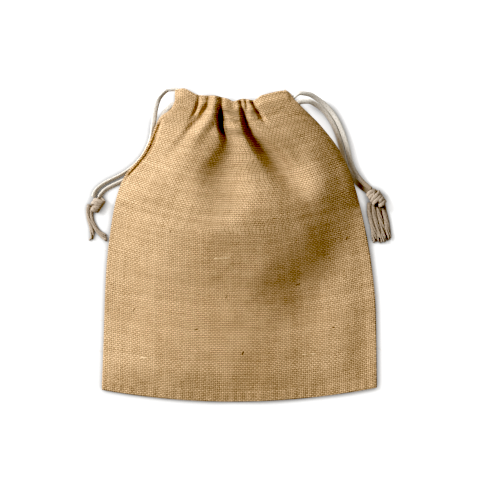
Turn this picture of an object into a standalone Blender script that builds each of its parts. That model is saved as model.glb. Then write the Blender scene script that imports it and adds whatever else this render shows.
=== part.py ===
"""A burlap drawstring sack lying on its back, with its mouth drawn in.

Run it with blender --background --python part.py, or from Blender's text editor.
+X is to the sack's right, +Y towards its mouth and +Z up. The sack lies on z = 0.
The tables and sizes are in millimetres; meshes are made in metres.
"""
import functools

import bmesh
import bpy
import numpy as np
from mathutils import Vector

MM = 0.001
NAME = "burlap_sack"

# ------------------------------------------------------------------ driving sizes
CLOTH = 1.5           # thickness of the jute cloth
GAP = 0.3             # room between pieces that touch
CORD = 3.6            # width of the soft cotton cord

CASING = 18.0         # depth of the turned-down casing at the mouth
TURN = 1.5            # radius of the cloth where it turns over at the mouth
CORD_BELOW_MOUTH = 9.0

BOTTOM_ROUND = 26.0   # how far from the bottom edge the front reaches its height
BOTTOM_BULGE = 0.75   # power of the rise there; a lower one is fuller
SEAM_SHARE = 0.10     # share of the width at each edge over which the folds fade out
LIP_ROLL = 7.0        # depth of the rolled lip at the mouth
FRONT_LIP_DIPS = 3.5  # how far the front's lip curls down
BACK_LIP_LIFTS = 2.5  # how far the back's lip curls up

HEM_NARROWS = 0.12    # share by which the hem's free edge is narrower than the mouth
HEM_LEVELS = 0.28     # share of the hem's depth over which it comes to its own height

BACK_LIES = CLOTH / 2                 # height of the back panel's middle, on the floor
BACK_FOLD_TOP = BACK_LIES + 5.0       # crest of the folds under the mouth
BACK_CORD_Z = BACK_FOLD_TOP + CLOTH / 2 + GAP + CORD / 2
BACK_HEM_Z = BACK_CORD_Z + CORD / 2 + GAP + CLOTH / 2
MOUTH_GAPE = 5.6                      # open height between the two hems
FRONT_HEM_Z = BACK_HEM_Z + CLOTH + MOUTH_GAPE
FRONT_CORD_Z = FRONT_HEM_Z + CLOTH / 2 + GAP + CORD / 2
CASING_FLOOR = FRONT_CORD_Z + CORD / 2 + GAP + CLOTH / 2

# The two side edges from the bottom corner to the mouth, as points (x, y).
LEFT_EDGE = (
    (-123.4, -129.6), (-122.0, -90), (-119.8, -28), (-116.0, 10), (-110.4, 41),
    (-102.6, 62), (-87.0, 80.5), (-78.0, 98), (-71.0, 113), (-60.0, 122),
    (-57.0, 130), (-57.0, 137),
)
RIGHT_EDGE = (
    (122.7, -127.6), (121.7, -60), (117.4, -15), (110.2, 23), (100.4, 59),
    (89.0, 84), (72.2, 106), (52.0, 126), (45.5, 133.5),
)
BOTTOM_BOW = -11.5    # how far the middle of the bottom edge hangs below its corners

# How far the middle of each weft row lies from the line between its two ends.
ROW_BOW_COLUMNS = ("share", "bow")
ROW_BOW = ((0, BOTTOM_BOW), (0.2, -13.5), (0.36, -16), (0.5, -19), (0.64, -21), (0.85, -16),
           (1, -8.5))
RUFFLE_POWER = 12     # how fast the mouth's ruffle fades in the rows below it

# The mouth's edge above its own bow, across the sack from left to right.
MOUTH_COLUMNS = ("across", "rise")
MOUTH = (
    (0, 0), (0.08, 3.5), (0.19, 1.1), (0.34, 3.1), (0.45, 1.6), (0.50, -0.4),
    (0.58, 2.1), (0.68, 0.2), (0.75, 3.8), (0.89, 4.9), (0.96, 3.6), (1, -0.5),
)

# The lie of the two panels along the sack. The edges are the heights of each panel's
# side edges, crown is how high the front stands over its edges, crown_at is the share
# of the width where it is highest, the bulges are the powers of the rise on its left
# and right flanks, and back_sweep tells how late the back rises towards its edges.
LIE_COLUMNS = ("y", "front_edge", "back_edge", "crown", "crown_at", "left_bulge",
               "right_bulge", "back_sweep")
LIE = (
    (-143, 2.55, 0.75, 4, 0.34, 0.8, 0.9, 30),
    (-90, 2.55, 0.75, 11.7, 0.39, 0.94, 1.09, 30),
    (-50, 2.55, 0.75, 13, 0.4, 1.05, 0.82, 30),
    (-10, 2.8, 1, 22.6, 0.46, 1.03, 0.84, 26),
    (20, 4.8, 3, 29.2, 0.46, 1.14, 1.15, 20),
    (45, 7.4, 5.6, 23.5, 0.44, 0.75, 0.57, 14),
    (70, 9.8, 8, 18.9, 0.33, 1.18, 0.35, 8),
    (95, 14, 12.2, 20.2, 0.35, 0.97, 0.35, 6),
    (106, 17, 15.2, 16.2, 0.41, 0.68, 0.35, 6),
    (114, 21.5, 10, 11.2, 0.47, 0.6, 0.39, 6),
    (120, 25, 4.2, 7.3, 0.5, 0.55, 0.52, 6),
    (128, 27, 3, 5.3, 0.5, 0.52, 0.51, 6),
    (142, 27.2, 2.6, 7.5, 0.5, 0.5, 0.5, 6),
)

# Valleys and ridges of the front panel below the mouth. Each is a list of places along
# its own path, with how far it reaches to the left and right of it and how deep it is.
FOLD_COLUMNS = ("y", "x", "left_width", "right_width", "depth")
VALLEYS = (
    ((98, -50.5, 7, 8, 0), (108, -44, 5.5, 6, 1.1), (115, -41, 4.2, 4.6, 1.9),
     (121, -38.8, 3.4, 3.8, 2.9), (127, -37, 3, 3.2, 2.4), (134, -36, 3, 3, 1),
     (142, -35.5, 3, 3, 0.5)),
    ((78, -64.6, 14.1, 18, 0), (90, -51.5, 10.2, 13.5, 2.1), (102, -43.8, 8, 10, 2.8),
     (112, -36.4, 6.4, 8, 3.4), (120, -31.2, 5.6, 6, 3.3), (128, -27.2, 4.6, 5, 2.4),
     (142, -26, 4.4, 4.4, 1.2)),
    ((15, -30.6, 38.6, 38.9, 0), (40, -11.8, 29.8, 29.7, 3.9), (60, -14.9, 28.6, 29.7, 6.6),
     (74, -12.8, 22.5, 23, 5.2), (88, -6.4, 15.5, 15.6, 4.3), (97, -9.5, 10, 12, 6),
     (106, -12.5, 8, 9, 5.5), (114, -15.2, 6.5, 7, 4.5), (124, -16, 3.8, 3.8, 1.8),
     (142, -16, 3, 3, 1.3)),
    ((94, -12.4, 4.4, 4.4, 0), (100, -15.4, 4.2, 4, 7), (106, -17, 4.2, 3.6, 12),
     (111, -17.2, 4.2, 3.4, 10), (117, -17.6, 3.6, 3.2, 7), (122, -17.6, 2.8, 2.8, 2),
     (128, -17.6, 2.6, 2.8, 0)),
    ((35, 51.1, 24.1, 25.8, 0), (57, 45.2, 22.3, 24.4, 4.5), (66, 38.2, 19.2, 24.5, 6.5),
     (75, 30.4, 16.2, 24.5, 8.3), (86, 20.4, 12, 20.3, 9.3), (97, 11.2, 8.4, 14, 9.2),
     (107.5, 6, 5.6, 8.5, 8), (120, 2.8, 4.4, 4.2, 5.2), (131, 0.8, 3.8, 3.6, 3),
     (142, 0.6, 3.6, 3.6, 1.6)),
    ((112, 8, 3, 3, 0), (118, 7, 2.8, 2.8, 2.4), (124, 6, 2.8, 2.8, 3.8),
     (130, 5, 2.8, 2.8, 3.4), (142, 4.6, 2.8, 2.8, 1.8)),
    ((107, 23.5, 4, 5, 0), (113, 19.8, 3.8, 5, 3), (118, 16.6, 3.8, 4.6, 4.8),
     (123, 13.6, 3.4, 3.8, 4.6), (128, 11.2, 2.9, 2.9, 3), (134, 10.4, 2.8, 2.8, 1.4),
     (142, 10, 2.8, 2.8, 0.8)),
)
RIDGES = (
    ((85, -52.3, 16.2, 16.2, 0), (98, -39, 13, 13, 2.1), (110, -28, 9, 9, 3.2),
     (120, -23.5, 7, 6, 3), (142, -21.5, 6, 5, 1.6)),
    ((5, 84, 22, 22, 0), (30, 71.5, 19.4, 19.4, 0), (52, 72, 19.8, 19.8, 2.7),
     (72, 68.7, 16.6, 16.6, 2.1), (95, 51.3, 12.5, 12.5, 0)),
    ((-130, 93.1, 29.2, 29.2, 0), (-85, 84.7, 41.1, 41.1, 2.3), (-45, 94.4, 27.2, 27.2, 1),
     (0, 103.5, 19.7, 19.7, 0)),
    ((-130, -62.1, 39.3, 39.3, 0), (-60, -64.8, 39.1, 39.1, 1), (0, -74.4, 33.3, 33.3, 1.4),
     (40, -83.1, 26.9, 26.9, 1.8), (66, -75.8, 20.9, 20.9, 0)),
)
# Folds of the back panel under the mouth, which rise into the sack.
BACK_FOLDS = (
    ((88, -52, 14, 14, 0), (112, -38, 8, 8, 3.5), (142, -36, 6, 6, 4.5)),
    ((70, -26, 16, 16, 0), (105, -17, 8, 8, 4.5), (142, -17, 6, 6, 5)),
    ((62, 8, 18, 18, 0), (100, 3, 9, 9, 4.5), (142, 1, 6.5, 6.5, 5)),
    ((78, 40, 16, 16, 0), (108, 22, 8, 8, 4), (142, 19, 6, 6, 5)),
    ((96, 58, 12, 12, 0), (118, 38, 7, 7, 3), (142, 34, 6, 6, 4)),
)

# The slope that falls to the lower right: the two ends of its foot, its width, the
# share of the crown that is left beyond it, and the shares of its length over which
# it comes in and dies out.
SLOPE_FOOT = ((128.5, 7.3), (51.7, -69.5))
SLOPE_WIDTH = 57
SLOPE_KEEPS = 0.22
SLOPE_COMES_IN = (-0.45, 0.15)
SLOPE_DIES_OUT = (0.80, 1.45)

CORNER_REACH = 8.0        # how far along the sack the tables' corners are evened out
GATHERS_FROM = (88, 108)  # y over which that fades out below the casing

# Meshes: columns and rows of each panel, and rows of its flat hem.
FRONT_GRID = (56, 22, 5)
BACK_GRID = (32, 14, 4)
ROW_PACKING = 1.45    # above 1, rows crowd towards the mouth
CORD_STEP = 2.4       # length of a cord's segment, in cord widths

# Cord routes from the left knot, through the casing, to the right knot.
FRONT_CORD_LEFT = (
    (-131.8, 43.9, 3.6), (-131.0, 46.6, 2.6), (-128.6, 50.6, 1.9), (-122.8, 55.4, 1.8),
    (-115.4, 59.4, 1.8), (-107.0, 63.6, 1.8), (-98.8, 69.0, 1.8), (-91.4, 75.8, 1.8),
    (-85.2, 84.2, 1.8), (-81.0, 94.0, 1.8), (-78.6, 104.0, 2.6), (-77.3, 112.6, 5.0),
    (-75.8, 121.2, 9.4), (-73.2, 129.4, 14.4), (-69.4, 134.0, 17.6), (-64.4, 135.7, 20.2),
    (-59.4, 132.6, 21.4),
)
FRONT_CORD_RIGHT = (
    (45.4, 126.4, 22.0), (49.6, 129.2, 21.6), (53.4, 133.4, 19.4), (59.4, 135.4, 15.2),
    (66.0, 133.4, 11.2), (72.4, 129.6, 8.0), (78.6, 124.6, 5.4), (85.0, 116.8, 3.6), (90.4, 106.9, 2.4),
    (94.2, 95.6, 1.8), (96.8, 85.6, 1.8), (98.8, 77.0, 1.8), (102.0, 68.6, 2.2),
    (106.4, 61.6, 3.4), (111.0, 56.4, 5.2), (115.0, 52.8, 6.4), (117.8, 50.6, 6.8),
)
BACK_CORD_LEFT = (
    (-126.6, 43.4, 3.4), (-125.0, 45.8, 2.4), (-121.4, 49.8, 1.9), (-114.6, 53.8, 1.8),
    (-106.4, 57.6, 1.8), (-99.0, 61.4, 1.8), (-91.4, 66.6, 1.8), (-84.2, 73.2, 1.8),
    (-78.4, 82.0, 1.8), (-75.0, 92.0, 1.8), (-73.0, 101.6, 2.0), (-71.9, 110.0, 3.0),
    (-69.6, 116.6, 5.2), (-65.2, 122.0, 7.5), (-59.6, 126.4, 8.8),
)
BACK_CORD_RIGHT = (
    (49.6, 125.6, 8.6), (54.8, 129.0, 8.0), (61.6, 129.4, 6.6), (69.0, 126.4, 4.8),
    (76.0, 121.0, 3.2), (81.6, 113.8, 2.2), (86.2, 105.0, 1.8), (89.8, 95.4, 1.8),
    (92.5, 84.6, 1.8), (95.2, 74.4, 1.8), (99.2, 65.4, 1.8), (104.4, 57.8, 1.8),
    (109.6, 52.8, 1.9), (113.6, 49.8, 2.4), (116.0, 48.0, 2.8),
)

# The part of both cords inside the casings: its first x, its last x and its points.
CASING_RUN = (-50, 38, 9)

KNOT_TURNS = 3
KNOT_SLANT = (0.35, 0.80)   # the way across the knots' turns, along x and y
KNOT_GROOVE = 0.07          # depth of their grooves, as a share of the knot's radius
# Each knot's name, centre and radii.
KNOTS = (
    ("knot_left", (-128.4, 37.0, 4.3), (6.2, 5.9, 4.2)),
    ("knot_right", (123.0, 42.8, 5.3), (7.4, 7.0, 5.2)),
)

# Each free tail's name, width and route from its knot.
TAILS = (
    ("tail_left_1", 2.8, ((-136.6, 35.4, 3.4), (-137.2, 31.0, 2.0), (-136.8, 25.4, 1.5),
                          (-135.0, 19.6, 1.4), (-133.4, 14.0, 1.4), (-133.2, 9.4, 1.4),
                          (-134.4, 4.8, 1.4))),
    ("tail_left_2", 2.8, ((-133.4, 30.6, 2.4), (-133.5, 26.4, 1.5), (-131.8, 20.8, 1.4),
                          (-129.4, 15.8, 1.4), (-126.2, 11.8, 1.4), (-122.6, 8.4, 1.4),
                          (-120.2, 2.4, 1.4))),
    ("tail_right_1", 3.4, ((117.0, 37.6, 2.4), (117.0, 31.0, 1.9), (118.4, 23.4, 1.8),
                           (120.6, 14.4, 1.8), (122.6, 3.2, 1.8))),
    ("tail_right_2", 3.4, ((120.9, 35.8, 2.6), (121.2, 30.0, 2.0), (122.7, 23.0, 1.8),
                           (124.8, 13.4, 1.8), (126.5, 2.6, 1.8))),
    ("tail_right_3", 3.4, ((124.9, 35.8, 2.6), (125.6, 30.0, 2.0), (127.1, 23.0, 1.8),
                           (129.0, 13.8, 1.8), (130.4, 3.4, 1.8))),
    ("tail_right_4", 3.4, ((128.9, 37.0, 2.4), (130.2, 31.0, 1.9), (132.0, 23.4, 1.8),
                           (133.5, 14.4, 1.8), (134.6, 5.0, 1.8))),
)

JUTE = (0.49, 0.31, 0.14)
COTTON = (0.58, 0.53, 0.46)


# ------------------------------------------------------------------ curves and tables
def smooth(low, high, at):
    """0 below low and 1 above high, with an even rise between them."""
    share = np.clip((at - low) / (high - low), 0, 1)
    return share * share * (3 - 2 * share)


def through(places, values, at):
    """A smooth curve through the values that never runs past them."""
    places, values = np.asarray(places, float), np.asarray(values, float)
    slopes = np.diff(values) / np.diff(places)
    before, after = slopes[:-1], slopes[1:]
    same_way = before * after > 0
    total = np.where(same_way, before + after, 1)
    tangents = np.zeros(len(places))
    tangents[1:-1] = np.where(same_way, 2 * before * after / total, 0)
    tangents[0], tangents[-1] = slopes[0], slopes[-1]
    at = np.clip(at, places[0], places[-1])
    i = np.clip(np.searchsorted(places, at) - 1, 0, len(places) - 2)
    span = places[i + 1] - places[i]
    s = (at - places[i]) / span
    return (
        values[i] * (1 + 2 * s) * (1 - s) ** 2
        + values[i + 1] * s * s * (3 - 2 * s)
        + tangents[i] * span * s * (1 - s) ** 2
        + tangents[i + 1] * span * s * s * (s - 1)
    )


def column(table, columns, name, at):
    """The named column of a table, read smoothly at a value of its first column."""
    rows = np.array(table, float)
    return through(rows[:, 0], rows[:, columns.index(name)], at)


def along(points, shares):
    """Points at these shares of the length of a smooth curve through points."""
    points = np.array(points, float)
    steps = np.linalg.norm(np.diff(points, axis=0), axis=1)
    chord = np.concatenate([[0], np.cumsum(steps)])
    fine = np.linspace(0, chord[-1], 40 * len(points))
    line = np.stack([through(chord, axis, fine) for axis in points.T], axis=1)
    run = np.concatenate([[0], np.cumsum(np.linalg.norm(np.diff(line, axis=0), axis=1))])
    wanted = np.asarray(shares) * run[-1]
    return np.stack([np.interp(wanted, run, axis) for axis in line.T], axis=1)


# ------------------------------------------------------------------ form of the sack
def edges_at(y):
    """The x of the left and right edge at these y."""
    left, right = np.array(LEFT_EDGE), np.array(RIGHT_EDGE)
    return through(left[:, 1], left[:, 0], y), through(right[:, 1], right[:, 0], y)


def share_across(x, y):
    left, right = edges_at(y)
    return np.clip((x - left) / (right - left), 0, 1)


def bow(across):
    """1 in the middle of a row and 0 at its ends."""
    return 1 - (2 * across - 1) ** 2


def plan(across, up):
    """Where the weft row at this share of the height lies, seen from above."""
    left = along(LEFT_EDGE, [up])[0]
    right = along(RIGHT_EDGE, [up])[0]
    x = left[0] + (right[0] - left[0]) * across
    y = left[1] + (right[1] - left[1]) * across
    y = y + column(ROW_BOW, ROW_BOW_COLUMNS, "bow", up) * bow(across)
    ruffle = column(MOUTH, MOUTH_COLUMNS, "rise", across) * up ** RUFFLE_POWER
    return x, y + ruffle


def mouth_y(x):
    """The y of the mouth's edge at this x."""
    across = np.linspace(0, 1, 200)
    xs, ys = plan(across, 1.0)
    return np.interp(x, xs, ys)


def bottom_y(x):
    """The y of the bottom edge at this x."""
    left, right = np.array(LEFT_EDGE[0]), np.array(RIGHT_EDGE[0])
    across = np.clip((x - left[0]) / (right[0] - left[0]), 0, 1)
    return left[1] + (right[1] - left[1]) * across + BOTTOM_BOW * bow(across)


@functools.lru_cache(maxsize=None)
def evened(table, columns, name):
    """The named column every half millimetre of y, with the corners between its rows
    evened out below the gathers."""
    y = np.arange(-150, 150, 0.5)
    reach = CORNER_REACH * (1 - smooth(*GATHERS_FROM, y))
    parts = ((-1, 1), (-0.5, 2), (0, 3), (0.5, 2), (1, 1))
    return y, sum(part * column(table, columns, name, y + step * reach) / 9
                  for step, part in parts)


def softly(table, columns, name, y):
    """The named column at these y, read from its evened curve."""
    return np.interp(y, *evened(table, columns, name))


def furrow(x, y, rows):
    """The depth of one fold at these places: a rounded trough along its path."""
    aside = x - softly(rows, FOLD_COLUMNS, "x", y)
    width = np.where(aside < 0, softly(rows, FOLD_COLUMNS, "left_width", y),
                     softly(rows, FOLD_COLUMNS, "right_width", y))
    away = np.clip(np.abs(aside) / width, 0, 1)
    return softly(rows, FOLD_COLUMNS, "depth", y) * (0.5 + 0.5 * np.cos(np.pi * away))


def beyond_slope(x, y):
    """0 on the crown's side of the falling slope and 1 past its foot."""
    start, end = np.array(SLOPE_FOOT[0], float), np.array(SLOPE_FOOT[1], float)
    length = np.linalg.norm(end - start)
    run_x, run_y = (end - start) / length
    across = (x - start[0]) * run_y - (y - start[1]) * run_x
    down = ((x - start[0]) * run_x + (y - start[1]) * run_y) / length
    ends = smooth(*SLOPE_COMES_IN, down) * (1 - smooth(*SLOPE_DIES_OUT, down))
    return (1 - smooth(0, SLOPE_WIDTH, across)) * ends


def crown(x, y):
    """How high the front panel stands over its edges, before its folds."""
    across = share_across(x, y)
    top = softly(LIE, LIE_COLUMNS, "crown_at", y)
    left = np.sin(np.pi / 2 * np.clip(across / top, 0, 1))
    right = np.sin(np.pi / 2 * np.clip((1 - across) / (1 - top), 0, 1))
    rise = np.where(
        across < top,
        left ** softly(LIE, LIE_COLUMNS, "left_bulge", y),
        right ** softly(LIE, LIE_COLUMNS, "right_bulge", y),
    )
    foot = np.sin(np.pi / 2 * np.clip((y - bottom_y(x)) / BOTTOM_ROUND, 0, 1))
    kept = 1 - (1 - SLOPE_KEEPS) * beyond_slope(x, y)
    return softly(LIE, LIE_COLUMNS, "crown", y) * rise * foot ** BOTTOM_BULGE * kept


def front_z(x, y):
    """Height of the front panel's middle surface."""
    at_edge = softly(LIE, LIE_COLUMNS, "front_edge", y)
    across = share_across(x, y)
    away = smooth(0, SEAM_SHARE, np.minimum(across, 1 - across))
    folds = sum(furrow(x, y, rows) for rows in RIDGES)
    folds = folds - sum(furrow(x, y, rows) for rows in VALLEYS)
    z = at_edge + crown(x, y) + folds * away
    below_mouth = mouth_y(x) - y
    over = z - CASING_FLOOR
    held_up = CASING_FLOOR + (over + np.sqrt(over ** 2 + 0.4)) / 2
    in_casing = 1 - smooth(CASING - 3, CASING + 1, below_mouth)
    z = z + (np.maximum(held_up, z) - z) * in_casing
    return z - FRONT_LIP_DIPS * (1 - smooth(0, LIP_ROLL, below_mouth))


def back_z(x, y):
    """Height of the back panel's middle surface."""
    at_edge = softly(LIE, LIE_COLUMNS, "back_edge", y)
    sweep = np.abs(2 * share_across(x, y) - 1)
    sweep = smooth(0.35, 1, sweep) ** (column(LIE, LIE_COLUMNS, "back_sweep", y) / 4)
    folds = sum(furrow(x, y, rows) for rows in BACK_FOLDS)
    z = BACK_LIES + (at_edge - BACK_LIES) * sweep
    lip = 1 - smooth(0, LIP_ROLL, mouth_y(x) - y)
    return np.maximum(z, BACK_LIES + folds) + BACK_LIP_LIFTS * lip


# ------------------------------------------------------------------ meshes
def weft_row(up, count, height):
    """One row of points, spread evenly along the cloth from edge to edge."""
    fine = np.linspace(0, 1, 500)
    x, y = plan(fine, up)
    z = height(x, y)
    steps = np.sqrt(np.diff(x) ** 2 + np.diff(y) ** 2 + np.diff(z) ** 2)
    run = np.concatenate([[0], np.cumsum(steps)])
    across = np.interp(np.linspace(0, run[-1], count + 1), run, fine)
    x, y = plan(across, up)
    return np.stack([x, y, height(x, y)], axis=1)


def hem_rows(mouth_row, count, hem_z, side):
    """Rows that turn over at the mouth and run back inside as the casing's hem.

    side is -1 where the hem lies under its panel and +1 where it lies over it.
    """
    rows = []
    turned = mouth_row + np.array([0, 0, side * TURN])
    tip = turned + np.array([0, TURN, 0])
    rows.append(tip)
    start = mouth_row + np.array([0, 0, side * 2 * TURN])
    rows.append(start)
    middle = mouth_row[:, 0].mean()
    for k in range(1, count + 1):
        share = k / count
        row = start.copy()
        row[:, 0] = middle + (row[:, 0] - middle) * (1 - HEM_NARROWS * smooth(0, 1, share))
        row[:, 1] -= CASING * share
        row[:, 2] += (hem_z - row[:, 2]) * smooth(0, HEM_LEVELS, share)
        rows.append(row)
    return rows


def panel_rows(grid, height, hem_z, side):
    columns, rows, hem = grid
    shares = 1 - (1 - np.linspace(0, 1, rows + 1)) ** ROW_PACKING
    body = [weft_row(up, columns, height) for up in shares]
    return body + hem_rows(body[-1], hem, hem_z, side)


def material(name, colour, roughness):
    made = bpy.data.materials.new(name)
    made.use_nodes = True
    shader = made.node_tree.nodes["Principled BSDF"]
    shader.inputs["Base Color"].default_value = (*colour, 1)
    shader.inputs["Roughness"].default_value = roughness
    shader.inputs["Metallic"].default_value = 0
    return made


def place(name, data, colour, roughness):
    """An object of its own for this mesh or curve, in the sack's collection."""
    made = bpy.data.objects.new(name, data)
    data.materials.append(material(name, colour, roughness))
    bpy.data.collections[NAME].objects.link(made)
    return made


def cloth(name, rows):
    """A sheet of jute on this grid of points, as thick as the cloth."""
    build = bmesh.new()
    points = [[build.verts.new(point) for point in row] for row in np.array(rows) * MM]
    for lower, upper in zip(points, points[1:]):
        for i in range(len(lower) - 1):
            build.faces.new((lower[i], lower[i + 1], upper[i + 1], upper[i]))
    mesh = bpy.data.meshes.new(name)
    build.to_mesh(mesh)
    build.free()
    made = place(name, mesh, JUTE, 0.95)
    shell = made.modifiers.new("thickness", "SOLIDIFY")
    shell.thickness = CLOTH * MM
    shell.offset = 0
    return made


def tube(name, route, diameter):
    """A plain round cord along a smooth curve through the route's points."""
    length = np.linalg.norm(np.diff(np.array(route), axis=0), axis=1).sum()
    count = max(6, int(length / (CORD_STEP * diameter)))
    points = along(route, np.linspace(0, 1, count)) * MM
    curve = bpy.data.curves.new(name, "CURVE")
    curve.dimensions = "3D"
    curve.bevel_depth = diameter / 2 * MM
    curve.bevel_resolution = 2
    curve.use_fill_caps = True
    spline = curve.splines.new("POLY")
    spline.points.add(count - 1)
    for point, place_at in zip(spline.points, points):
        point.co = (*place_at, 1)
    return place(name, curve, COTTON, 0.9)


def casing_line(x):
    """The y of the cord in the casing, which follows half of the mouth's ruffle."""
    across = np.linspace(0, 1, 60)
    xs, ys = plan(across, 1.0)
    ruffle = column(MOUTH, MOUTH_COLUMNS, "rise", across)
    return np.interp(x, xs, ys - ruffle / 2) - CORD_BELOW_MOUTH


def casing_run(z):
    """The cord's route inside a casing, from the left end to the right end."""
    xs = np.linspace(*CASING_RUN)
    return [(x, y, z) for x, y in zip(xs, casing_line(xs))]


def knot(name, centre, radii):
    """A knot's outer form: a lump with soft grooves between the cord's turns."""
    build = bmesh.new()
    bmesh.ops.create_uvsphere(build, u_segments=20, v_segments=12, radius=1)
    for vert in build.verts:
        slant = vert.co.xy.dot(Vector(KNOT_SLANT))
        groove = 0.5 + 0.5 * np.cos(KNOT_TURNS * np.pi * slant)
        size = Vector(radii) * (1 - KNOT_GROOVE * groove)
        vert.co = (Vector(centre) + size * vert.co) * MM
    mesh = bpy.data.meshes.new(name)
    build.to_mesh(mesh)
    build.free()
    return place(name, mesh, COTTON, 0.9)


def build_sack():
    for old in list(bpy.data.objects):
        bpy.data.objects.remove(old)
    bpy.context.scene.collection.children.link(bpy.data.collections.new(NAME))
    cloth("front_panel", panel_rows(FRONT_GRID, front_z, FRONT_HEM_Z, -1))
    cloth("back_panel", panel_rows(BACK_GRID, back_z, BACK_HEM_Z, 1))
    front_route = (*FRONT_CORD_LEFT, *casing_run(FRONT_CORD_Z), *FRONT_CORD_RIGHT)
    back_route = (*BACK_CORD_LEFT, *casing_run(BACK_CORD_Z), *BACK_CORD_RIGHT)
    tube("front_cord", front_route, CORD)
    tube("back_cord", back_route, CORD)
    for name, centre, radii in KNOTS:
        knot(name, centre, radii)
    for name, diameter, route in TAILS:
        tube(name, route, diameter)


build_sack()
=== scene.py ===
"""The looks of a burlap drawstring sack that lies on its back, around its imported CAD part.

+X is to the sack's right, +Y towards its mouth and +Z up, and the sack lies on z = 0.
The tables and sizes are in millimetres, as in the part's own source, and meshes are
made in metres. The form of the two panels repeats that source on a finer grid.
"""
import functools
import math

import bpy
import numpy as np
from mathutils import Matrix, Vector


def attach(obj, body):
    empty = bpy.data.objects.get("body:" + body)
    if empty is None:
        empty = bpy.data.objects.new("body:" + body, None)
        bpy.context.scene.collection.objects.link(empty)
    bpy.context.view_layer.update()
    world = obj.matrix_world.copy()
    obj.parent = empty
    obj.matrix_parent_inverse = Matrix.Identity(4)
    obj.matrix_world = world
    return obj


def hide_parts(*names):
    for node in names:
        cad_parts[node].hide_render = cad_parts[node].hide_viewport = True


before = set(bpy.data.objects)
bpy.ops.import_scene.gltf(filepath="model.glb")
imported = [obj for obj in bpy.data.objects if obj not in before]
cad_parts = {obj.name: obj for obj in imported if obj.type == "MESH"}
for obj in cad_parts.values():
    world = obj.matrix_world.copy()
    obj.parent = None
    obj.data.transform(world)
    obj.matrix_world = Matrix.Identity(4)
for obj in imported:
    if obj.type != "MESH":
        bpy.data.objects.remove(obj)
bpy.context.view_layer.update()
SCENE = bpy.context.scene
MM = 0.001

# ------ sizes of the part
CAD_CLOTH = 1.5  # thickness of the CAD part's panels
GAP = 0.3  # room between pieces that touch
CORD = 3.6  # width of the CAD part's cord
CASING = 18.0  # depth of the turned-down casing at the mouth
TURN = 1.5  # radius of the cloth where it turns over at the mouth
CORD_BELOW_MOUTH = 9.0

BOTTOM_ROUND = 26.0  # how far from the bottom edge the front reaches its height
BOTTOM_BULGE = 0.75  # power of the rise there; a lower one is fuller
SEAM_SHARE = 0.1  # share of the width at each edge over which the folds fade out
LIP_ROLL = 7.0  # depth of the rolled lip at the mouth
FRONT_LIP_DIPS = 3.5  # how far the front's lip curls down
BACK_LIP_LIFTS = 2.5  # how far the back's lip curls up
BACK_SWEEPS_FROM = 0.35  # share of the way to its edges where the back starts to rise

HEM_NARROWS = 0.12  # share by which the hem's free edge is narrower than the mouth
HEM_LEVELS = 0.28  # share of the hem's depth over which it comes to its own height

BACK_LIES = CAD_CLOTH / 2
BACK_FOLD_TOP = BACK_LIES + 5.0  # the top of the back's folds under the mouth
BACK_CORD_Z = BACK_FOLD_TOP + CAD_CLOTH / 2 + GAP + CORD / 2
BACK_HEM_Z = BACK_CORD_Z + CORD / 2 + GAP + CAD_CLOTH / 2
MOUTH_GAPE = 5.6  # room between the two hems
FRONT_HEM_Z = BACK_HEM_Z + CAD_CLOTH + MOUTH_GAPE
FRONT_CORD_Z = FRONT_HEM_Z + CAD_CLOTH / 2 + GAP + CORD / 2
CASING_FLOOR = FRONT_CORD_Z + CORD / 2 + GAP + CAD_CLOTH / 2

# The two side edges from the bottom corner to the mouth, as points (x, y).
LEFT_EDGE = (
    (-123.4, -129.6), (-122, -90), (-119.8, -28), (-116, 10), (-110.4, 41),
    (-102.6, 62), (-87, 80.5), (-78, 98), (-71, 113), (-60, 122),
    (-57, 130), (-57, 137),
)
RIGHT_EDGE = (
    (122.7, -127.6), (121.7, -60), (117.4, -15), (110.2, 23), (100.4, 59),
    (89.0, 84), (72.2, 106), (52.0, 126), (45.5, 133.5),
)
BOTTOM_BOW = -11.5  # how far the middle of the bottom edge hangs below its corners

# How far the middle of each weft row lies from the line between its two ends, as
# (share of the height, distance).
ROW_BOW = ((0, BOTTOM_BOW), (0.2, -13.5), (0.36, -16), (0.5, -19), (0.64, -21), (0.85, -16),
           (1, -8.5))
RUFFLE_POWER = 12  # how fast the mouth's ruffle fades in the rows below it

# The mouth's edge above its own bow, as (share of the width from the left, rise).
MOUTH = (
    (0, 0), (0.08, 3.5), (0.19, 1.1), (0.34, 3.1), (0.45, 1.6), (0.5, -0.4),
    (0.58, 2.1), (0.68, 0.2), (0.75, 3.8), (0.89, 4.9), (0.96, 3.6), (1, -0.5),
)

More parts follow.
